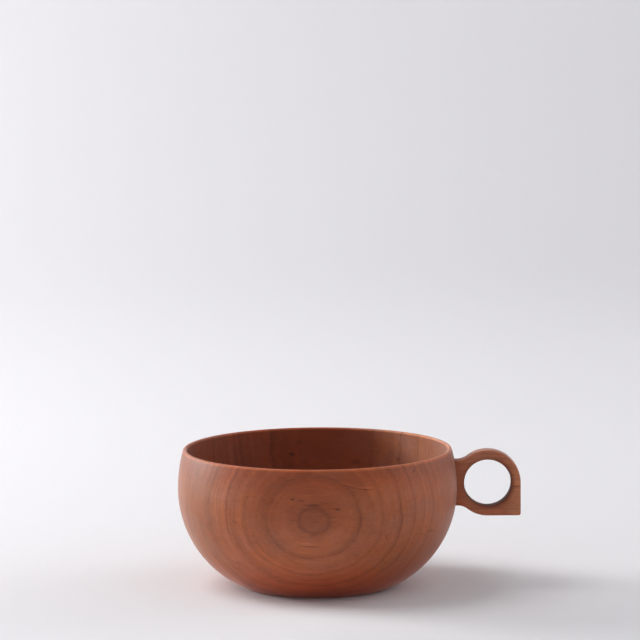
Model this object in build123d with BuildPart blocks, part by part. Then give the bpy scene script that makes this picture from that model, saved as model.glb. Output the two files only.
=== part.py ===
from build123d import *
import os

# A turned wooden kuksa: a round bowl with a flat ring handle glued to its side.
# Millimetres. +Z is up, the handle points along +X, and the origin is the centre of the base.

# --- Bowl ---------------------------------------------------------------------------------
bowl_radius = 60.0           # greatest outside radius, at the equator
equator_height = 42.0        # height of the greatest radius above the table
bowl_height = 59.0           # table to the top of the lip
lower_arc_radius = 46.0      # outside curve, from the equator down to the base
upper_arc_radius = 60.0      # outside curve, from the equator up to the lip
wall_at_equator = 3.5
floor_thickness = 7.0
lip_width = 1.6
lip_round = 0.75
base_edge_round = 1.5

# --- Handle -------------------------------------------------------------------------------
handle_thickness = 7.0       # the board lies in the XZ plane, half on each side of it
grip_x = 73.0                # centre of the finger hole, out from the bowl's axis
grip_height = 43.8           # centre of the finger hole, above the table
finger_hole_radius = 10.1
ring_radius = 14.2           # outside of the ring round the finger hole
neck_height = 19.5           # where the board meets the bowl
neck_fillet = 7.0            # hollow curve between the neck and the ring
corner_round = 0.9           # the square lower corner of the board
edge_round = 0.7             # round-over on the board's edges
board_start_x = 54.0         # the blank starts inside the bowl before it is coped

# --- Glued dowels in the joint ------------------------------------------------------------
dowel_radius = 1.5
dowel_offset = 6.2           # each dowel's axis above or below the grip height
dowel_inner_x = 57.5         # end of the dowel in the bowl's wall
dowel_outer_x = 62.7         # end of the dowel in the handle
dowel_chamfer = 0.3
glue_gap = 0.05              # round each dowel
end_gap = 0.2                # past each end of a dowel

dowel_heights = {
    "handle_dowel_upper": grip_height + dowel_offset,
    "handle_dowel_lower": grip_height - dowel_offset,
}

# Points of the outside curve, (radius, height)
lower_arc_centre_x = bowl_radius - lower_arc_radius
upper_arc_centre_x = bowl_radius - upper_arc_radius
base_radius = lower_arc_centre_x + (lower_arc_radius**2 - equator_height**2) ** 0.5
lip_rise = bowl_height - equator_height
lip_outer_radius = upper_arc_centre_x + (upper_arc_radius**2 - lip_rise**2) ** 0.5

# Points of the inside curve
inner_radius = bowl_radius - wall_at_equator
lip_inner_radius = lip_outer_radius - lip_width
inner_arc_radius = equator_height - floor_thickness
inner_floor_radius = inner_radius - inner_arc_radius


os.makedirs("parts", exist_ok=True)


def draw_outside_curve():
    """The bowl's base and outside, from the axis out and up to the lip's outer edge."""
    Line((0, 0), (base_radius, 0))
    RadiusArc((base_radius, 0), (bowl_radius, equator_height), -lower_arc_radius)
    RadiusArc((bowl_radius, equator_height), (lip_outer_radius, bowl_height), -upper_arc_radius)


# --- The bowl, turned in one piece --------------------------------------------------------
with BuildPart() as cup_body:
    with BuildSketch(Plane.XZ):
        with BuildLine():
            draw_outside_curve()
            Line((lip_outer_radius, bowl_height), (lip_inner_radius, bowl_height))
            TangentArc((inner_radius, equator_height), (lip_inner_radius, bowl_height), tangent=(0, 1))
            RadiusArc((inner_radius, equator_height), (inner_floor_radius, floor_thickness), inner_arc_radius)
            Line((inner_floor_radius, floor_thickness), (0, floor_thickness))
            Line((0, floor_thickness), (0, 0))
        make_face()
    revolve(axis=Axis.Z)
    lip_edges = cup_body.edges().filter_by(GeomType.CIRCLE).group_by(Axis.Z)[-1]
    fillet(lip_edges, lip_round)
    base_edge = cup_body.edges().filter_by(GeomType.CIRCLE).group_by(Axis.Z)[0]
    fillet(base_edge, base_edge_round)
    for dowel_height in dowel_heights.values():
        socket_plane = Plane(origin=(dowel_inner_x - end_gap, 0, dowel_height), z_dir=(1, 0, 0))
        with BuildSketch(socket_plane):
            Circle(dowel_radius + glue_gap)
        extrude(amount=bowl_radius, mode=Mode.SUBTRACT)
cup_body.part.label = "cup_body"


# --- The handle board, coped to the outside of the bowl -----------------------------------
half_neck = neck_height / 2
fillet_centre_offset = ((ring_radius + neck_fillet) ** 2 - (half_neck + neck_fillet) ** 2) ** 0.5
neck_end_x = grip_x - fillet_centre_offset
fillet_share = ring_radius / (ring_radius + neck_fillet)
ring_start_x = grip_x - fillet_centre_offset * fillet_share
ring_start_rise = (half_neck + neck_fillet) * fillet_share
ring_start_angle = 180 - Vector(fillet_centre_offset, half_neck + neck_fillet).get_angle(Vector(1, 0))
ring_bottom = grip_height - ring_radius
ring_right_x = grip_x + ring_radius

with BuildPart() as handle:
    with BuildSketch(Plane.XZ):
        with BuildLine():
            Line((board_start_x, grip_height + half_neck), (neck_end_x, grip_height + half_neck))
            TangentArc(
                (neck_end_x, grip_height + half_neck),
                (ring_start_x, grip_height + ring_start_rise),
                tangent=(1, 0),
            )
            CenterArc(
                (grip_x, grip_height),
                ring_radius,
                0,
                ring_start_angle,
            )
            Line((ring_right_x, grip_height), (ring_right_x, ring_bottom))
            Line((ring_right_x, ring_bottom), (grip_x, ring_bottom))
            TangentArc(
                (grip_x, ring_bottom),
                (ring_start_x, grip_height - ring_start_rise),
                tangent=(-1, 0),
            )
            TangentArc(
                (neck_end_x, grip_height - half_neck),
                (ring_start_x, grip_height - ring_start_rise),
                tangent=(1, 0),
            )
            Line((neck_end_x, grip_height - half_neck), (board_start_x, grip_height - half_neck))
            Line((board_start_x, grip_height - half_neck), (board_start_x, grip_height + half_neck))
        make_face()
        with Locations((grip_x, grip_height)):
            Circle(finger_hole_radius, mode=Mode.SUBTRACT)
    extrude(amount=handle_thickness / 2, both=True)
    corner_edge = handle.edges().filter_by(Axis.Y).sort_by(Axis.X)[-2:].sort_by(Axis.Z)[0]
    fillet(corner_edge, corner_round)
    back_edges = handle.edges().group_by(Axis.Y)[-1]
    front_edges = handle.edges().group_by(Axis.Y)[0]
    fillet(back_edges + front_edges, edge_round)
    with BuildSketch(Plane.XZ):
        with BuildLine():
            draw_outside_curve()
            Line((lip_outer_radius, bowl_height), (0, bowl_height))
            Line((0, bowl_height), (0, 0))
        make_face()
    revolve(axis=Axis.Z, mode=Mode.SUBTRACT)
    for dowel_height in dowel_heights.values():
        socket_plane = Plane(origin=(board_start_x, 0, dowel_height), z_dir=(1, 0, 0))
        with BuildSketch(socket_plane):
            Circle(dowel_radius + glue_gap)
        extrude(amount=dowel_outer_x + end_gap - board_start_x, mode=Mode.SUBTRACT)
handle.part.label = "handle"


# --- The two dowels that pin the handle to the bowl ---------------------------------------
dowels = {}
for dowel_name, dowel_height in dowel_heights.items():
    with BuildPart() as dowel:
        with BuildSketch(Plane(origin=(dowel_inner_x, 0, dowel_height), z_dir=(1, 0, 0))):
            Circle(dowel_radius)
        extrude(amount=dowel_outer_x - dowel_inner_x)
        chamfer(dowel.edges().filter_by(GeomType.CIRCLE), dowel_chamfer)
    dowel.part.label = dowel_name
    dowels[dowel_name] = dowel.part


export_step(cup_body.part, "parts/cup_body.step")
export_step(handle.part, "parts/handle.step")
for dowel_name, dowel_part in dowels.items():
    export_step(dowel_part, "parts/" + dowel_name + ".step")
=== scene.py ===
import math

import bmesh
import bpy
from mathutils import Matrix, Vector


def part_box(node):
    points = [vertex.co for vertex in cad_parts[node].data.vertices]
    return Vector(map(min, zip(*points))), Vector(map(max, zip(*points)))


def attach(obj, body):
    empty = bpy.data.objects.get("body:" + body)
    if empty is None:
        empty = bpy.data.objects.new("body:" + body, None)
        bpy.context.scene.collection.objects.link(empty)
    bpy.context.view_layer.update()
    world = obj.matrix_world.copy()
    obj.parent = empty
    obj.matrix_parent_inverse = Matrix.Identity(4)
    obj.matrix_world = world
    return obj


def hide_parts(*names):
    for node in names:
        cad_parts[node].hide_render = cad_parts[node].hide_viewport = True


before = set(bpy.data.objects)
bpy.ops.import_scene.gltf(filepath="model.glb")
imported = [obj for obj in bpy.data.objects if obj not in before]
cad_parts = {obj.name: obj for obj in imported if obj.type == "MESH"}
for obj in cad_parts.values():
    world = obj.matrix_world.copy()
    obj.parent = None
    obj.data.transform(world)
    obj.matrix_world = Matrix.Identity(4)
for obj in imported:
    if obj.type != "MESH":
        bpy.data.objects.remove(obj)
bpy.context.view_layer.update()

MM = 0.001

# ---------------------------------------------------------------- sizes, read from the frame
bowl_low, bowl_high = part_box("cup_body")
handle_low, handle_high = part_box("handle")
upper_dowel_low, upper_dowel_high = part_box("handle_dowel_upper")
lower_dowel_low, lower_dowel_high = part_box("handle_dowel_lower")

bowl_radius = -bowl_low.x
bowl_height = bowl_high.z
board_thickness = handle_high.y - handle_low.y
ring_radius = (handle_high.z - handle_low.z) / 2
grip_height = (handle_high.z + handle_low.z) / 2
grip_x = handle_high.x - ring_radius

# ---------------------------------------------------------------- sizes that the frame doesn't give
equator_height = 42 * MM
lower_curve_radius = 46 * MM
upper_curve_radius = 60 * MM
wall_at_equator = 3.5 * MM
floor_thickness = 7 * MM
lip_width = 1.6 * MM
lip_round = 0.75 * MM
base_edge_round = 1.5 * MM
turned_steps = 240

finger_hole_radius = 10.1 * MM
half_neck = 9.75 * MM
neck_curve_radius = 7 * MM
corner_round = 0.9 * MM
board_edge_round = 0.7 * MM
board_start_x = 57.5 * MM
glue_gap = 0.05 * MM
socket_end_gap = 0.2 * MM


# ---------------------------------------------------------------- drawing in the XZ plane
def start_line(bm, x, z, y=0.0):
    """The first point of an outline."""
    return bm.verts.new((x, y, z))


def line_to(bm, vert, x, z):
    """A straight edge from vert to the point (x, z)."""
    end = bmesh.ops.extrude_vert_indiv(bm, verts=[vert])["verts"][0]
    end.co = (x, vert.co.y, z)
    return end


def arc_by(bm, vert, centre_x, centre_z, degrees, steps):
    """An arc from vert round the centre, anticlockwise with X to the right and Z up."""
    centre = (centre_x, vert.co.y, centre_z)
    turned = bmesh.ops.spin(
        bm, geom=[vert], cent=centre, axis=(0, -1, 0), angle=math.radians(degrees), steps=steps
    )
    return [item for item in turned["geom_last"] if isinstance(item, bmesh.types.BMVert)][0]


def bearing(dx, dz):
    """The direction of (dx, dz) in degrees, from +X towards +Z."""
    return math.degrees(math.atan2(dz, dx))


def leg(hypotenuse, other_leg):
    """The second short side of a right-angled triangle."""
    return math.sqrt(hypotenuse**2 - other_leg**2)


def object_from(bm, name):
    """A new object in the scene, made from the bmesh."""
    mesh = bpy.data.meshes.new(name)
    bm.to_mesh(mesh)
    bm.free()
    piece = bpy.data.objects.new(name, mesh)
    bpy.context.scene.collection.objects.link(piece)
    return piece


def cut_away(piece, tool):
    """Removes the tool's solid from the piece, and then the tool."""
    boolean = piece.modifiers.new("cut", "BOOLEAN")
    boolean.operation = "DIFFERENCE"
    boolean.solver = "EXACT"
    boolean.object = tool
    depsgraph = bpy.context.evaluated_depsgraph_get()
    cut_mesh = bpy.data.meshes.new_from_object(piece.evaluated_get(depsgraph))
    piece.modifiers.clear()
    old_mesh = piece.data
    piece.data = cut_mesh
    cut_mesh.name = piece.name
    bpy.data.meshes.remove(old_mesh)
    bpy.data.objects.remove(tool)


# ---------------------------------------------------------------- the bowl
def turn_bowl():
    """The bowl's section, drawn as tangent arcs and turned once round its axis."""
    lower_x = bowl_radius - lower_curve_radius
    upper_x = bowl_radius - upper_curve_radius
    lip_rise = bowl_height - equator_height
    lip_outer = upper_x + leg(upper_curve_radius, lip_rise)
    lip_inner = lip_outer - lip_width
    inner_radius = bowl_radius - wall_at_equator

    base_round_drop = equator_height - base_edge_round
    base_round_x = lower_x + leg(lower_curve_radius - base_edge_round, base_round_drop)
    base_round_end = bearing(base_round_x - lower_x, -base_round_drop)

    round_rise = lip_rise - lip_round
    outer_round_x = upper_x + leg(upper_curve_radius - lip_round, round_rise)
    outer_round_start = bearing(outer_round_x - upper_x, round_rise)

    lip_inset = inner_radius - lip_inner
    inner_curve_radius = (lip_rise**2 + lip_inset**2) / (2 * lip_inset)
    inner_curve_x = inner_radius - inner_curve_radius
    inner_round_x = inner_curve_x + leg(inner_curve_radius + lip_round, round_rise)
    inner_round_end = bearing(inner_round_x - inner_curve_x, round_rise)
    hollow_radius = equator_height - floor_thickness
    hollow_x = inner_radius - hollow_radius

    bm = bmesh.new()
    tip = start_line(bm, 0, 0)
    for share in (0.25, 0.5, 0.75, 1):
        tip = line_to(bm, tip, base_round_x * share, 0)
    tip = arc_by(bm, tip, base_round_x, base_edge_round, 90 + base_round_end, 4)
    tip = arc_by(bm, tip, lower_x, equator_height, -base_round_end, 40)
    tip = arc_by(bm, tip, upper_x, equator_height, outer_round_start, 12)
    tip = arc_by(bm, tip, outer_round_x, bowl_height - lip_round, 90 - outer_round_start, 8)
    tip = line_to(bm, tip, inner_round_x, bowl_height)
    tip = arc_by(bm, tip, inner_round_x, bowl_height - lip_round, 90 + inner_round_end, 8)
    tip = arc_by(bm, tip, inner_curve_x, equator_height, -inner_round_end, 12)
    tip = arc_by(bm, tip, hollow_x, equator_height, -90, 40)
    for share in (0.75, 0.5, 0.25, 0):
        tip = line_to(bm, tip, hollow_x * share, floor_thickness)

    bmesh.ops.spin(
        bm, geom=bm.verts[:] + bm.edges[:], cent=(0, 0, 0), axis=(0, 0, 1),
        angle=2 * math.pi, steps=turned_steps, use_merge=True,
    )
    bmesh.ops.remove_doubles(bm, verts=bm.verts[:], dist=0.001 * MM)
    bmesh.ops.recalc_face_normals(bm, faces=bm.faces[:])
    return object_from(bm, "turned_bowl")


# ---------------------------------------------------------------- the handle
def cut_board():
    """The flat ring handle, sawn from a board, before its end is coped to the bowl."""
    centre_gap = leg(ring_radius + neck_curve_radius, half_neck + neck_curve_radius)
    neck_end_x = grip_x - centre_gap
    neck_turn = 90 - bearing(centre_gap, half_neck + neck_curve_radius)
    front = -board_thickness / 2
    right = grip_x + ring_radius
    bottom = grip_height - ring_radius
    fillet_z = half_neck + neck_curve_radius

    bm = bmesh.new()

    def fill(verts_before):
        """Closes the outline that was drawn since then, and fills it with one face."""
        new_verts = [v for v in bm.verts if v not in verts_before]
        bmesh.ops.remove_doubles(bm, verts=new_verts, dist=0.001 * MM)
        new_edges = [e for e in bm.edges if not e.link_faces]
        bmesh.ops.contextual_create(bm, geom=new_edges)

    # upper half: neck, hollow curve, ring, and back along the hole
    tip = start_line(bm, board_start_x, grip_height, front)
    tip = line_to(bm, tip, board_start_x, grip_height + half_neck)
    tip = line_to(bm, tip, neck_end_x, grip_height + half_neck)
    tip = arc_by(bm, tip, neck_end_x, grip_height + fillet_z, neck_turn, 10)
    tip = arc_by(bm, tip, grip_x, grip_height, -(90 + neck_turn), 44)
    tip = line_to(bm, tip, grip_x + finger_hole_radius, grip_height)
    tip = arc_by(bm, tip, grip_x, grip_height, 180, 48)
    line_to(bm, tip, board_start_x, grip_height)
    fill(set())
    upper_verts = set(bm.verts)

    # lower half: neck, hollow curve, lower left of the ring, and the square corner
    tip = start_line(bm, board_start_x, grip_height, front)
    tip = line_to(bm, tip, board_start_x, grip_height - half_neck)
    tip = line_to(bm, tip, neck_end_x, grip_height - half_neck)
    tip = arc_by(bm, tip, neck_end_x, grip_height - fillet_z, -neck_turn, 10)
    tip = arc_by(bm, tip, grip_x, grip_height, neck_turn, 16)
    tip = line_to(bm, tip, right - corner_round, bottom)
    tip = arc_by(bm, tip, right - corner_round, bottom + corner_round, 90, 6)
    tip = line_to(bm, tip, right, grip_height)
    tip = line_to(bm, tip, grip_x + finger_hole_radius, grip_height)
    tip = arc_by(bm, tip, grip_x, grip_height, -180, 48)
    line_to(bm, tip, board_start_x, grip_height)
    fill(upper_verts)
    bmesh.ops.remove_doubles(bm, verts=bm.verts[:], dist=0.001 * MM)

    pushed = bmesh.ops.extrude_face_region(bm, geom=bm.faces[:])
    back_verts = [item for item in pushed["geom"] if isinstance(item, bmesh.types.BMVert)]
    bmesh.ops.translate(bm, verts=back_verts, vec=(0, board_thickness, 0))
    bmesh.ops.recalc_face_normals(bm, faces=bm.faces[:])
    # the rims are where the flat front and back, a turn of over 1 radian, meet the board's sides
    rims = [
        e for e in bm.edges
        if abs(e.verts[0].co.y - e.verts[1].co.y) < 0.01 * MM and e.calc_face_angle(0) > 1
    ]
    bmesh.ops.bevel(
        bm, geom=rims, offset=board_edge_round, offset_type="OFFSET", segments=6,
        profile=0.5, affect="EDGES", material=-1,
    )
    return object_from(bm, "ring_handle")


def socket_tool(low, high):
    """A rod the size of a dowel's socket."""
    length = high.x - low.x + 2 * socket_end_gap
    radius = (high.z - low.z) / 2 + glue_gap
    bm = bmesh.new()
    bmesh.ops.create_cone(
        bm, cap_ends=True, segments=32, radius1=radius, radius2=radius, depth=length
    )
    along_x = Matrix.Rotation(math.pi / 2, 3, "Y")
    bmesh.ops.rotate(bm, verts=bm.verts[:], cent=(0, 0, 0), matrix=along_x)
    bmesh.ops.translate(bm, verts=bm.verts[:], vec=(low + high) / 2)
    return object_from(bm, "socket")


bowl = turn_bowl()
ring_handle = cut_board()

# the board's end is coped by a copy of the bowl, then both are drilled for the dowels
coping_bowl = bowl.copy()
coping_bowl.data = bowl.data.copy()
bpy.context.scene.collection.objects.link(coping_bowl)
cut_away(ring_handle, coping_bowl)
for low, high in ((upper_dowel_low, upper_dowel_high), (lower_dowel_low, lower_dowel_high)):
    cut_away(ring_handle, socket_tool(low, high))
    cut_away(bowl, socket_tool(low, high))

for piece, sharp_angle in ((bowl, 50), (ring_handle, 40)):
    piece.data.shade_smooth()
    piece.data.set_sharp_from_angle(angle=math.radians(sharp_angle))
flat_faces = ring_handle.modifiers.new("flat faces", "WEIGHTED_NORMAL")
flat_faces.keep_sharp = True


# ---------------------------------------------------------------- wood
RIGHT = (1, 0, 0)
BACK = (0, 1, 0)
UP = (0, 0, 1)
ANY_DEPTH = 1e9   # a size so great along Y that the place along Y makes no difference


class Nodes:
    """A material's node tree, with short ways to add and join nodes."""

    def __init__(self, name):
        self.material = bpy.data.materials.new(name)
        self.material.use_nodes = True
        self.tree = self.material.node_tree
        self.shader = self.tree.nodes["Principled BSDF"]

    def join(self, value, socket):
        """Links a node's output to the socket, or sets a constant on it."""
        if isinstance(value, bpy.types.NodeSocket):
            self.tree.links.new(value, socket)
        else:
            socket.default_value = value

    def add(self, kind, inputs=(), **settings):
        made = self.tree.nodes.new(kind)
        for key, value in settings.items():
            setattr(made, key, value)
        for key, value in dict(inputs).items():
            self.join(value, made.inputs[key])
        return made

    def math(self, operation, a, b=0.0, c=0.0):
        return self.add("ShaderNodeMath", {0: a, 1: b, 2: c}, operation=operation).outputs[0]

    def times(self, *values):
        product = values[0]
        for value in values[1:]:
            product = self.math("MULTIPLY", product, value)
        return product

    def swing(self, noise, amount, start):
        """The start value, moved up or down by the noise times the amount."""
        return self.math("MULTIPLY_ADD", self.math("SUBTRACT", noise, 0.5), amount, start)

    def vector(self, operation, a, b=(0, 0, 0)):
        made = self.add("ShaderNodeVectorMath", {0: a, 1: b}, operation=operation)
        return made.outputs["Value"] if operation in ("DOT_PRODUCT", "LENGTH") else made.outputs[0]

    def along(self, axis, place):
        """How far the place lies along the axis."""
        return self.vector("DOT_PRODUCT", place, axis)

    def reach(self, place, centre, size, slope=0.0):
        """Distance from the centre, seen along Y: 1 at the size given along X and Z."""
        seen = self.add("ShaderNodeMapping", {
            "Vector": place,
            "Location": (centre[0], 0, centre[1]),
            "Rotation": (0, -math.radians(slope), 0),
            "Scale": (size[0], ANY_DEPTH, size[1]),
        }, vector_type="TEXTURE")
        return self.vector("LENGTH", seen.outputs["Vector"])

    def facing(self):
        """The direction that the surface faces."""
        return self.add("ShaderNodeNewGeometry").outputs["Normal"]

    def noise(self, place, scale, detail=2.0, rough=0.5, stretch=None):
        if stretch:
            place = self.vector("MULTIPLY", place, stretch)
        made = self.add("ShaderNodeTexNoise", {
            "Vector": place, "Scale": scale, "Detail": detail, "Roughness": rough,
        })
        return made.outputs["Fac"]

    def spread(self, value, low, high, to_low=0.0, to_high=1.0, smooth=True):
        made = self.add("ShaderNodeMapRange", {
            "Value": value, "From Min": low, "From Max": high, "To Min": to_low, "To Max": to_high,
        }, interpolation_type="SMOOTHSTEP" if smooth else "LINEAR")
        return made.outputs["Result"]

    def mix(self, share, a, b, blend="MIX"):
        """Mixes two colours: inputs 0, 6 and 7 are the node's factor and its colours."""
        inputs = {0: share, 6: a, 7: b}
        made = self.add("ShaderNodeMix", data_type="RGBA", blend_type=blend)
        for index, value in inputs.items():
            self.join(value, made.inputs[index])
        return made.outputs[2]

    def tinted(self, share, colour, tint):
        """The colour, multiplied by the tint as far as the share says."""
        return self.mix(share, colour, self.mix(1.0, colour, solid(tint), "MULTIPLY"))

    def ramp(self, value, stops):
        made = self.add("ShaderNodeValToRGB", {"Fac": value})
        band = made.color_ramp
        while len(band.elements) > 1:
            band.elements.remove(band.elements[0])
        band.elements[0].position = stops[0][0]
        band.elements[0].color = grey(stops[0][1])
        for position, level in stops[1:]:
            band.elements.new(position).color = grey(level)
        return made.outputs["Color"]

    def finish_with(self, **inputs):
        for key, value in inputs.items():
            self.join(value, self.shader.inputs[key.replace("_", " ")])


def solid(colour):
    return (*colour, 1)


def grey(level):
    return (level, level, level, 1)


# Growth rings: millimetres back from the bowl's front, and how dark the line there is
RINGS = [
    (-9, 0.5), (-0.9, 0.0), (3.3, 1.0), (7.6, 0.35), (12.7, 1.0), (17.2, 0.85), (21.4, 0.5),
    (26, 0.5), (29.6, 0.35), (33.4, 0.5), (37.6, 0.4), (41.6, 0.5), (46, 0.45), (50.6, 0.7),
    (55, 0.5), (59.4, 0.6), (64, 0.45), (68.2, 0.6), (72.4, 0.5), (76.4, 0.7), (80.6, 0.45),
    (84.6, 0.5), (88.6, 0.6), (92.8, 0.45), (97.2, 0.5), (103, 0.0), (104.9, 1.0),
    (110.6, 0.0), (112.4, 1.0), (130, 0.0),
]

# Across one ring, from its start to its end: the share of its width, and how dark it is
RING_SHAPE = [
    (0.0, 0.6), (0.03, 0.22), (0.1, 0.05), (0.4, 0.0), (0.8, 0.16), (0.9, 0.5), (0.96, 1.0),
    (1.0, 0.85),
]

# Pin knots and torn fibres on the bowl, and wide soft paler or darker patches of painted light and
# shade:
# (x, z) in millimetres, half length, half height, slope in degrees, how dark; below 0 is paler
FRONT_MARKS = [
    (8.3, 42.8, 1.5, 0.55, -4, 1.2), (5.8, 43.3, 2.8, 0.34, -6, 0.6),
    (-10.3, 47.0, 1.3, 0.7, 10, 0.9), (-6.8, 46.3, 3.0, 0.32, -6, 0.6),
    (-1.8, 44.7, 4.2, 0.6, 0, 0.7), (2.8, 45.6, 2.4, 0.3, -14, 0.5),
    (-2.9, 26.7, 6.2, 0.36, -4, 1.0), (-4.4, 28.2, 5.0, 0.4, -2, -0.5),
    (12.8, 52.9, 3.8, 0.6, -20, -0.55), (13.8, 51.9, 3.2, 0.3, -20, 0.7),
    (20.0, 51.3, 4.6, 0.6, -6, -0.55), (20.2, 50.4, 4.0, 0.32, -6, 0.8),
    (-34.2, 35.6, 2.6, 0.4, -28, 0.8), (-33.0, 37.2, 2.2, 0.4, -24, -0.5),
    (40.3, 56.0, 0.7, 0.9, 0, 0.7), (37.6, 43.8, 0.9, 0.45, -10, 0.5),
    (47.8, 28.8, 2.2, 0.4, -12, 0.7), (43.6, 28.4, 1.8, 0.35, -12, 0.6),
    (-33.6, 16.6, 1.7, 0.7, -30, 0.6), (-22.4, 15.6, 2.0, 0.4, -20, 0.6),
    (-29.0, 46.8, 0.8, 0.5, 0, 0.45), (-26.0, 47.6, 0.8, 0.5, 0, 0.4),
    (28.6, 29.4, 0.6, 2.2, 12, 0.5), (-14.6, 33.6, 3.2, 0.3, -6, -0.4),
    (14.8, 34.2, 3.0, 0.28, 5, -0.4), (6.9, 37.6, 2.0, 0.3, 0, 0.5),
    (6.6, 39.4, 1.8, 0.28, -4, 0.45), (-9.8, 38.2, 1.8, 0.3, 0, 0.45),
    (-4.0, 39.8, 2.2, 0.28, 0, 0.4), (-0.6, 37.6, 2.6, 0.26, 0, 0.35),
    (-3.0, 36.0, 2.0, 0.26, 0, 0.35), (-1.0, 40.8, 1.8, 0.3, 0, -0.3),
    (-2.0, 31.8, 1.5, 1.0, 0, 0.3),
    # the wide soft patches from here on are painted light and shade
    (-6.0, 44.0, 34.0, 14.0, 0, 0.26), (-24.0, 15.0, 30.0, 10.0, -24, -0.24),
    (38.0, 17.0, 26.0, 11.0, 34, 0.26), (38.0, 49.0, 20.0, 9.0, 0, -0.26),
    (-50.0, 38.0, 14.0, 16.0, 0, 0.08), (-5.0, 22.0, 24.0, 9.0, 0, -0.22),
    (31.0, 53.5, 14.0, 6.0, 0, -0.3),
]
BACK_MARKS = [
    (-11.2, 47.2, 2.0, 1.4, -15, 1.0), (-8.0, 52.6, 1.6, 0.6, 10, 0.7),
    (17.0, 43.8, 3.4, 1.4, 10, 0.5), (35.5, 46.5, 1.0, 1.6, 0, 0.6),
]
HANDLE_MARKS = [
    (85.2, 42.4, 2.4, 0.4, 0, 0.9), (81.0, 27.0, 0.6, 0.5, 0, 0.6),
    (66.0, 52.6, 3.0, 0.3, 8, 0.5),
]

# The oval core that the rings close round: its centre and half sizes along X and Z
CORE_CENTRE = (-1.5, 38.3)
CORE_SIZE = (6.4, 5.7)

# Tints that multiply the wood's colour, many of them painted light and shade
# Painted shade in the bowl's hollow, turning at its right into paler outer wood with painted light
# on it
PAINTED_SHADE_HOLLOW = (0.66, 0.57, 0.63)
SAPWOOD_AND_PAINTED_LIGHT_HOLLOW = (1.02, 1.36, 1.85)
# Painted shade low on the bowl, and in a band under its lip
PAINTED_SHADE_FOOT = (0.97, 0.6, 0.36)
PAINTED_SHADE_SHOULDER = (0.83, 0.69, 0.57)
# Deeper, warmer colour round the front's centre
DEEPER_FRONT_CENTRE = (0.97, 0.82, 0.62)
# Painted shade at the lower right, and a greyer left side that paints the sheen of the light there
PAINTED_SHADE_LOWER_RIGHT = (1.0, 0.93, 0.76)
PAINTED_SHEEN_LEFT = (0.86, 0.97, 0.97)
# Painted highlight along the lip
PAINTED_HIGHLIGHT_LIP = (1.6, 1.6, 1.4)
# Darker end grain, partly painted shade
END_GRAIN_AND_PAINTED_SHADE = (0.75, 0.68, 0.65)
# Painted shade round the finger hole and inside it, and on the handle's top
PAINTED_SHADE_HOLE_RIM = (0.45, 0.36, 0.32)
PAINTED_SHADE_BORE = (0.6, 0.5, 0.45)
PAINTED_SHADE_TOP = (0.78, 0.7, 0.62)
DARK_STREAK = (0.5, 0.42, 0.4)
# Painted shade on the handle's neck beside the bowl, and painted light on its outer end
PAINTED_SHADE_NECK = (0.84, 0.68, 0.5)
PAINTED_LIGHT_END = (1.22, 1.4, 1.4)


def growth_rings(nodes, depth):
    """0 in the pale early wood of each ring, rising to a dark line where the ring ends."""
    first, last = RINGS[0][0], RINGS[-1][0]
    count = len(RINGS) - 1
    share = nodes.spread(depth, first, last, smooth=False)
    curve = nodes.add("ShaderNodeFloatCurve", {"Value": share})
    points = curve.mapping.curves[0].points
    for index, (ring_depth, _) in enumerate(RINGS):
        spot = ((ring_depth - first) / (last - first), index / count)
        if index in (0, count):
            points[0 if index == 0 else -1].location = spot
        else:
            points.new(*spot)
    for point in points:
        point.handle_type = "VECTOR"
    curve.mapping.update()
    ring_number = nodes.math("MULTIPLY", curve.outputs["Value"], count)
    line = nodes.ramp(nodes.math("FRACT", ring_number), RING_SHAPE)
    darkness = nodes.ramp(
        nodes.math("DIVIDE", nodes.math("ADD", ring_number, 0.5), count),
        [((index + 0.5) / count, strength) for index, (_, strength) in enumerate(RINGS[1:], 1)],
    )
    return nodes.times(line, darkness)


def marks_on(nodes, place, marks):
    """The sum of all marks, each a soft streak seen along Y."""
    total = 0.0
    for x, z, half_length, half_height, slope, darkness in marks:
        away = nodes.reach(place, (x, z), (half_length, half_height), slope)
        total = nodes.math("ADD", total, nodes.spread(away, 0.2, 1.1, darkness, 0.0))
    return total


def core_on(nodes, place, ripple, fibres):
    """The oval core: a ragged dark edge, and slightly darker wood within it."""
    away = nodes.swing(ripple, 0.5, nodes.reach(place, CORE_CENTRE, CORE_SIZE))
    from_edge = nodes.math("ABSOLUTE", nodes.math("SUBTRACT", away, 1.0))
    ragged = nodes.spread(fibres, 0.35, 0.6, 0.35, 1.25)
    edge = nodes.times(nodes.spread(from_edge, 0.0, 0.28, 0.4, 0.0), ragged)
    return nodes.math("ADD", edge, nodes.spread(away, 0.9, 1.1, 0.14, 0.0))


def bowl_marks(nodes, place, ripple, fibres):
    """The core and the marks on the front of the bowl, and the marks on its back."""
    on_front = nodes.math("LESS_THAN", nodes.along(BACK, place), 0.0)
    on_back = nodes.math("SUBTRACT", 1.0, on_front)
    core = core_on(nodes, place, ripple, fibres)
    front = nodes.times(nodes.math("ADD", marks_on(nodes, place, FRONT_MARKS), core), on_front)
    back = nodes.times(marks_on(nodes, place, BACK_MARKS), on_back)
    return nodes.times(nodes.math("ADD", front, back), 0.8)


def quiet_areas(nodes, place, depth):
    """How much of each ring line shows: less at the front's left, and from the core to the lip."""
    across = nodes.along(RIGHT, place)
    left = nodes.spread(across, -30.0, -8.0, 0.35, 1.0)
    far_back = nodes.spread(depth, 60.0, 80.0)
    above_core = nodes.spread(nodes.reach(place, (6, 50), (28, 16)), 0.5, 1.1, 0.35, 1.0)
    return nodes.times(nodes.math("MAXIMUM", left, far_back), above_core)


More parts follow.
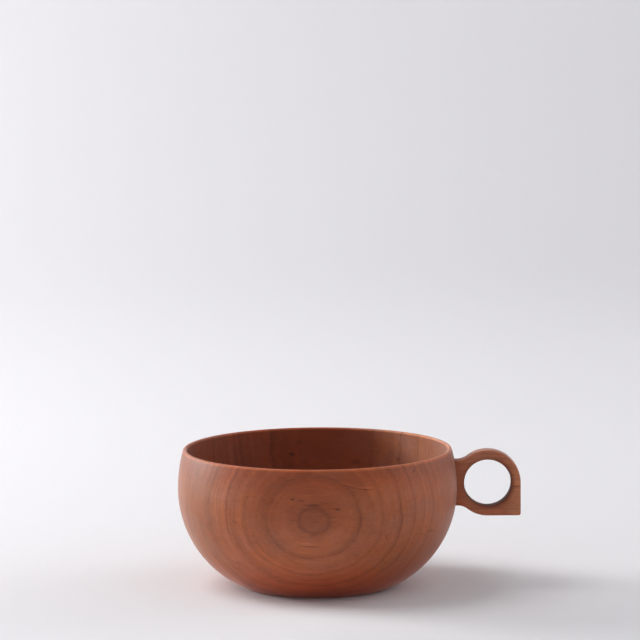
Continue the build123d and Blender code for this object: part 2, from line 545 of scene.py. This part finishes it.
def hollow_side(nodes, place):
    """1 on the bowl's inside, where the surface faces its axis or lies level below the lip."""
    facing = nodes.facing()
    outwards = nodes.vector("NORMALIZE", nodes.vector("MULTIPLY", place, (1, 1, 0)))
    to_axis = nodes.spread(nodes.along(outwards, facing), -0.35, 0.0, 1.0, 0.0)
    level = nodes.spread(nodes.along(UP, facing), 0.1, 0.4)
    below_lip = nodes.math("LESS_THAN", nodes.along(UP, place), 50.0)
    return nodes.math("MAXIMUM", to_axis, nodes.times(level, below_lip))


def bowl_tints_and_painted_light(nodes, place, colour):
    """Painted light and shade in and out, paler wood at the hollow's right, a painted highlight on
    the lip.
    """
    across = nodes.along(RIGHT, place)
    height = nodes.along(UP, place)
    hollow = hollow_side(nodes, place)
    outside = nodes.math("SUBTRACT", 1.0, hollow)

    # painted shade in the hollow, and at its right paler outer wood with painted light
    sapwood_and_painted_light = nodes.spread(across, 12.0, 44.0)
    hollow_tint = nodes.mix(sapwood_and_painted_light, solid(PAINTED_SHADE_HOLLOW), solid(SAPWOOD_AND_PAINTED_LIGHT_HOLLOW))
    colour = nodes.mix(hollow, colour, nodes.mix(1.0, colour, hollow_tint, "MULTIPLY"))

    # painted shade low on the outside, less of it on the left
    foot = nodes.times(
        nodes.spread(height, 2.0, 22.0, 1.0, 0.0), nodes.spread(across, -40.0, -12.0, 0.35, 1.0)
    )
    # painted shade in a band under the lip
    shoulder = nodes.spread(height, 46.0, 55.0)
    front_centre = nodes.spread(nodes.reach(place, (-6, 45), (26, 16)), 0.3, 1.1, 1.0, 0.0)
    # painted shade at the lower right
    lower_right = nodes.times(
        nodes.spread(across, 0.0, 30.0), nodes.spread(height, 14.0, 40.0, 1.0, 0.0)
    )
    # painted sheen that greys the lit left side
    left = nodes.spread(across, -50.0, -34.0, 1.0, 0.0)
    for share, tint in (
        (foot, PAINTED_SHADE_FOOT), (shoulder, PAINTED_SHADE_SHOULDER), (front_centre, DEEPER_FRONT_CENTRE),
        (lower_right, PAINTED_SHADE_LOWER_RIGHT), (left, PAINTED_SHEEN_LEFT),
    ):
        colour = nodes.tinted(nodes.times(share, outside), colour, tint)
    # painted highlight along the lip
    return nodes.tinted(nodes.spread(height, 57.9, 58.5), colour, PAINTED_HIGHLIGHT_LIP)


def from_hole(nodes, place):
    """Distance from the axis of the finger hole, in millimetres."""
    centre = (grip_x / MM, 0, grip_height / MM)
    from_centre = nodes.vector("MULTIPLY", nodes.vector("SUBTRACT", place, centre), (1, 0, 1))
    return nodes.vector("LENGTH", from_centre)


def handle_tints_and_painted_light(nodes, place, colour):
    """Painted shade on top, in the hole, at the neck and partly on end grain; painted light at its
    far end.
    """
    across = nodes.along(RIGHT, place)
    away = from_hole(nodes, place)
    facing = nodes.facing()
    # darker end grain, partly painted shade in the finger hole
    end_grain_and_shade = nodes.spread(nodes.math("ABSOLUTE", nodes.along(RIGHT, facing)), 0.35, 0.9)
    # painted shade round the finger hole, stronger to its right
    hole_rim_shade = nodes.times(
        nodes.spread(away, 10.2, 12.4, 1.0, 0.0), nodes.spread(across, 70.0, 82.0, 0.4, 1.0)
    )
    # painted shade inside the finger hole
    bore = nodes.spread(away, 10.15, 10.5, 1.0, 0.0)
    # painted shade on the handle's upward faces
    top_edge = nodes.spread(nodes.along(UP, facing), 0.5, 0.9)
    streaks = marks_on(nodes, place, HANDLE_MARKS)
    # painted shade on the neck beside the bowl, painted light on the outer end
    neck = nodes.spread(across, 57.0, 66.0, 1.0, 0.0)
    outer_end = nodes.spread(across, 80.0, 87.0)
    for share, tint in (
        (end_grain_and_shade, END_GRAIN_AND_PAINTED_SHADE), (hole_rim_shade, PAINTED_SHADE_HOLE_RIM), (bore, PAINTED_SHADE_BORE), (top_edge, PAINTED_SHADE_TOP),
        (streaks, DARK_STREAK), (neck, PAINTED_SHADE_NECK), (outer_end, PAINTED_LIGHT_END),
    ):
        colour = nodes.tinted(share, colour, tint)
    return colour


def dry_foot(nodes, place):
    """Extra roughness low on the bowl, where hands don't polish it."""
    return nodes.spread(nodes.along(UP, place), 4.0, 26.0, 0.32, 0.0)


def dry_hole(nodes, place):
    """Extra roughness inside the finger hole."""
    return nodes.spread(from_hole(nodes, place), 10.15, 10.7, 0.45, 0.0)


def oiled_wood(name, early, late, warm, ring_normal, front_depth,
               quiet=None, marks=None, tints_and_painted_light=None, dry=None):
    """Fine-grained wood with its fibres along X, oiled to a satin finish.

    Early and warm wood lie in patches, and late wood is the colour of ring lines and marks. The
    rings are planes square to ring_normal, and front_depth is how deep in them the origin lies,
    in millimetres. The last four are functions that add what only some of the pieces have.
    """
    nodes = Nodes(name)
    place = nodes.add("ShaderNodeVectorMath", {
        0: nodes.add("ShaderNodeTexCoord").outputs["Object"], "Scale": 1 / MM,
    }, operation="SCALE").outputs[0]
    across = nodes.along(RIGHT, place)

    # the rings wander a little, less where they close round the core
    wander = nodes.noise(place, 0.045, stretch=(0.35, 1, 1))
    ripple = nodes.noise(place, 0.22, 3.0, 0.6, stretch=(0.5, 1, 1))
    flat_depth = nodes.math("ADD", nodes.along(ring_normal, place), front_depth)
    depth = nodes.swing(wander, nodes.spread(flat_depth, 0.0, 14.0, 0.2, 3.0), flat_depth)
    depth = nodes.swing(ripple, nodes.spread(flat_depth, 0.0, 10.0, 0.28, 1.0), depth)
    broken = nodes.spread(nodes.noise(place, 0.13, 3.0, 0.6), 0.3, 0.62, 0.55, 1.0)
    ring = nodes.times(growth_rings(nodes, depth), broken)
    if quiet:
        ring = nodes.times(ring, quiet(nodes, place, depth))

    # fine bands inside each ring, fibres, open pores, and slow changes of colour
    band_place = nodes.add("ShaderNodeCombineXYZ", {
        "X": nodes.times(across, 0.02), "Y": depth, "Z": nodes.times(nodes.along(UP, place), 0.02),
    }).outputs[0]
    bands = nodes.noise(band_place, 0.75, 3.0, 0.65)
    fibres = nodes.noise(place, 1.4, 3.0, 0.7, stretch=(0.09, 1, 1))
    pores = nodes.spread(nodes.noise(place, 2.4, 1.0, stretch=(0.25, 1, 1)), 0.62, 0.74)
    patches = nodes.spread(nodes.noise(place, 0.08, 3.0, 0.65, stretch=(0.6, 1, 1)), 0.36, 0.64)
    mottle = nodes.noise(place, 0.3, 3.0, 0.65, stretch=(0.5, 1, 1))

    # dark wood takes the late colour, and marks below 0 make the wood paler
    dark = nodes.times(ring, 0.6)
    if marks:
        dark = nodes.math("ADD", marks(nodes, place, ripple, fibres), dark)
    dark = nodes.math("MULTIPLY_ADD", pores, 0.28, dark)
    base = nodes.mix(patches, solid(early), solid(warm))
    base = nodes.mix(nodes.math("MAXIMUM", dark, 0.0), base, solid(late))
    shade = nodes.swing(bands, nodes.spread(across, -40.0, 5.0, 1.2, 0.65), 1.0)
    shade = nodes.swing(fibres, 0.6, shade)
    shade = nodes.swing(mottle, 0.4, shade)
    shade = nodes.math("MULTIPLY_ADD", nodes.math("MINIMUM", dark, 0.0), -0.6, shade)
    shade = nodes.add("ShaderNodeCombineColor", {"Red": shade, "Green": shade, "Blue": shade})
    colour = nodes.mix(1.0, base, shade.outputs[0], "MULTIPLY")
    # the piece's own tints, with painted light and painted shade
    if tints_and_painted_light:
        colour = tints_and_painted_light(nodes, place, colour)

    roughness = nodes.math("MULTIPLY_ADD", fibres, 0.16, 0.44)
    if dry:
        roughness = nodes.math("ADD", roughness, dry(nodes, place))
    relief = nodes.math("SUBTRACT", nodes.times(fibres, 0.5), nodes.times(pores, 0.5))
    bump = nodes.add("ShaderNodeBump", {"Height": relief, "Strength": 0.12, "Distance": 0.2 * MM})
    nodes.finish_with(
        Base_Color=colour, Roughness=roughness, Normal=bump.outputs["Normal"], IOR=1.44,
        Sheen_Weight=0.3, Sheen_Roughness=0.3, Sheen_Tint=solid((1, 0.95, 0.93)),
    )
    return nodes.material


bowl_front = round(bowl_radius / MM)
bowl_rings = (0.03, 1, 0.087)
bowl_wood = oiled_wood(
    "oiled cherry, bowl",
    early=(0.362, 0.106, 0.046), late=(0.12, 0.03, 0.012), warm=(0.374, 0.096, 0.029),
    ring_normal=bowl_rings, front_depth=bowl_front - bowl_rings[2] * equator_height / MM,
    quiet=quiet_areas, marks=bowl_marks, tints_and_painted_light=bowl_tints_and_painted_light, dry=dry_foot,
)
handle_wood = oiled_wood(
    "oiled cherry, handle",
    early=(0.44, 0.145, 0.07), late=(0.20, 0.055, 0.02), warm=(0.42, 0.12, 0.046),
    ring_normal=(0.03, 0.35, 0.9), front_depth=20, tints_and_painted_light=handle_tints_and_painted_light, dry=dry_hole,
)
dowel_wood = oiled_wood(
    "plain birch, dowels",
    early=(0.55, 0.36, 0.19), late=(0.36, 0.2, 0.09), warm=(0.5, 0.32, 0.16),
    ring_normal=(0, 0.6, 0.8), front_depth=10,
)

bowl.data.materials.clear()
bowl.data.materials.append(bowl_wood)
ring_handle.data.materials.clear()
ring_handle.data.materials.append(handle_wood)
for node_name in ("handle_dowel_upper", "handle_dowel_lower"):
    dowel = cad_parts[node_name]
    for slot in dowel.material_slots:
        slot.material = dowel_wood

for piece, node_name, slot_name in (
    (bowl, "cup_body", "bowl_wood"),
    (ring_handle, "handle", "handle_wood"),
):
    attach(piece, "root")
    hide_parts(node_name)


# ---------------------------------------------------------------- studio
def paper_sweep():
    """A round seamless paper floor that curves up all the way round, well beyond the cup."""
    flat_radius = 1.2
    curve_radius = 1.2
    wall_height = 1.25
    bm = bmesh.new()
    tip = start_line(bm, 0, 0)
    tip = line_to(bm, tip, flat_radius, 0)
    tip = arc_by(bm, tip, flat_radius, curve_radius, 90, 24)
    line_to(bm, tip, flat_radius + curve_radius, wall_height)
    bmesh.ops.spin(
        bm, geom=bm.verts[:] + bm.edges[:], cent=(0, 0, 0), axis=(0, 0, 1),
        angle=2 * math.pi, steps=96, use_merge=True,
    )
    bmesh.ops.remove_doubles(bm, verts=bm.verts[:], dist=0.01 * MM)
    bmesh.ops.recalc_face_normals(bm, faces=bm.faces[:])
    sweep = object_from(bm, "paper_sweep")
    sweep.data.shade_smooth()
    paper = Nodes("white paper")
    paper.finish_with(Base_Color=solid((0.80, 0.79, 0.81)), Roughness=0.9)
    sweep.data.materials.append(paper.material)


def softbox(name, place, aim, width, height, power):
    """A soft rectangular light in white, turned towards its aim."""
    light = bpy.data.lights.new(name, "AREA")
    light.shape = "RECTANGLE"
    light.size = width
    light.size_y = height
    light.energy = power
    lamp = bpy.data.objects.new(name, light)
    lamp.location = place
    lamp.rotation_euler = (Vector(aim) - Vector(place)).to_track_quat("-Z", "Y").to_euler()
    bpy.context.scene.collection.objects.link(lamp)


paper_sweep()
cup_middle = (0, 0, 0.03)
softbox("window, tall and narrow", (-1.15, 0.6, 0.72), cup_middle, 0.3, 0.6, power=3.3)
softbox("window, lower pane", (-1.24, 0.46, 0.35), cup_middle, 0.4, 0.22, power=9.8)
softbox("skylight", (-0.9, 0.1, 1.5), (0, 0, 0), 1.0, 1.0, power=13.4)
softbox("light on the paper behind", (-1.35, 1.5, 0.8), (-1.2, 2.3, 0.1), 0.6, 0.6, power=15.6)
softbox("reflector on the right", (1.15, 0.35, 0.5), (0.04, 0, 0.03), 0.7, 0.7, power=3.4)


def light_the_room():
    """Soft light from all round: a little more from the front, and much more from the right."""
    all_round = 0.172
    more_at_front = 0.24
    more_at_right = 0.77
    world = bpy.data.worlds.new("studio")
    world.use_nodes = True
    tree = world.node_tree
    direction = tree.nodes.new("ShaderNodeTexCoord").outputs["Generated"]

    def join(kind, operation, *values):
        made = tree.nodes.new(kind)
        made.operation = operation
        for index, value in enumerate(values):
            if isinstance(value, bpy.types.NodeSocket):
                tree.links.new(value, made.inputs[index])
            else:
                made.inputs[index].default_value = value
        return made.outputs["Value"]

    right = join("ShaderNodeVectorMath", "DOT_PRODUCT", direction, (more_at_right, 0, 0))
    right = join("ShaderNodeMath", "MAXIMUM", right, 0.0)
    front = join("ShaderNodeVectorMath", "DOT_PRODUCT", direction, (0, -more_at_front, 0))
    front = join("ShaderNodeMath", "ADD", front, all_round)
    strength = join("ShaderNodeMath", "ADD", right, front)
    background = tree.nodes["Background"]
    background.inputs["Color"].default_value = (0.98, 0.98, 1.0, 1)
    tree.links.new(strength, background.inputs["Strength"])
    bpy.context.scene.world = world


light_the_room()
bpy.context.scene.view_settings.view_transform = "Standard"


# ---------------------------------------------------------------- camera
camera_x = 0.0015
camera_distance = 1.5
camera_height = 0.303
camera_down = 7.17    # degrees
camera_roll = -0.35   # degrees

camera_data = bpy.data.cameras.new("camera")
camera_data.sensor_width = 36
camera_data.lens = 199
camera_data.clip_end = 20
camera = bpy.data.objects.new("camera", camera_data)
camera.location = (camera_x, -camera_distance, camera_height)
level = Matrix.Rotation(math.radians(90 - camera_down), 4, "X")
roll = Matrix.Rotation(math.radians(camera_roll), 4, "Z")
camera.rotation_euler = (level @ roll).to_euler()
bpy.context.scene.collection.objects.link(camera)
bpy.context.scene.camera = camera
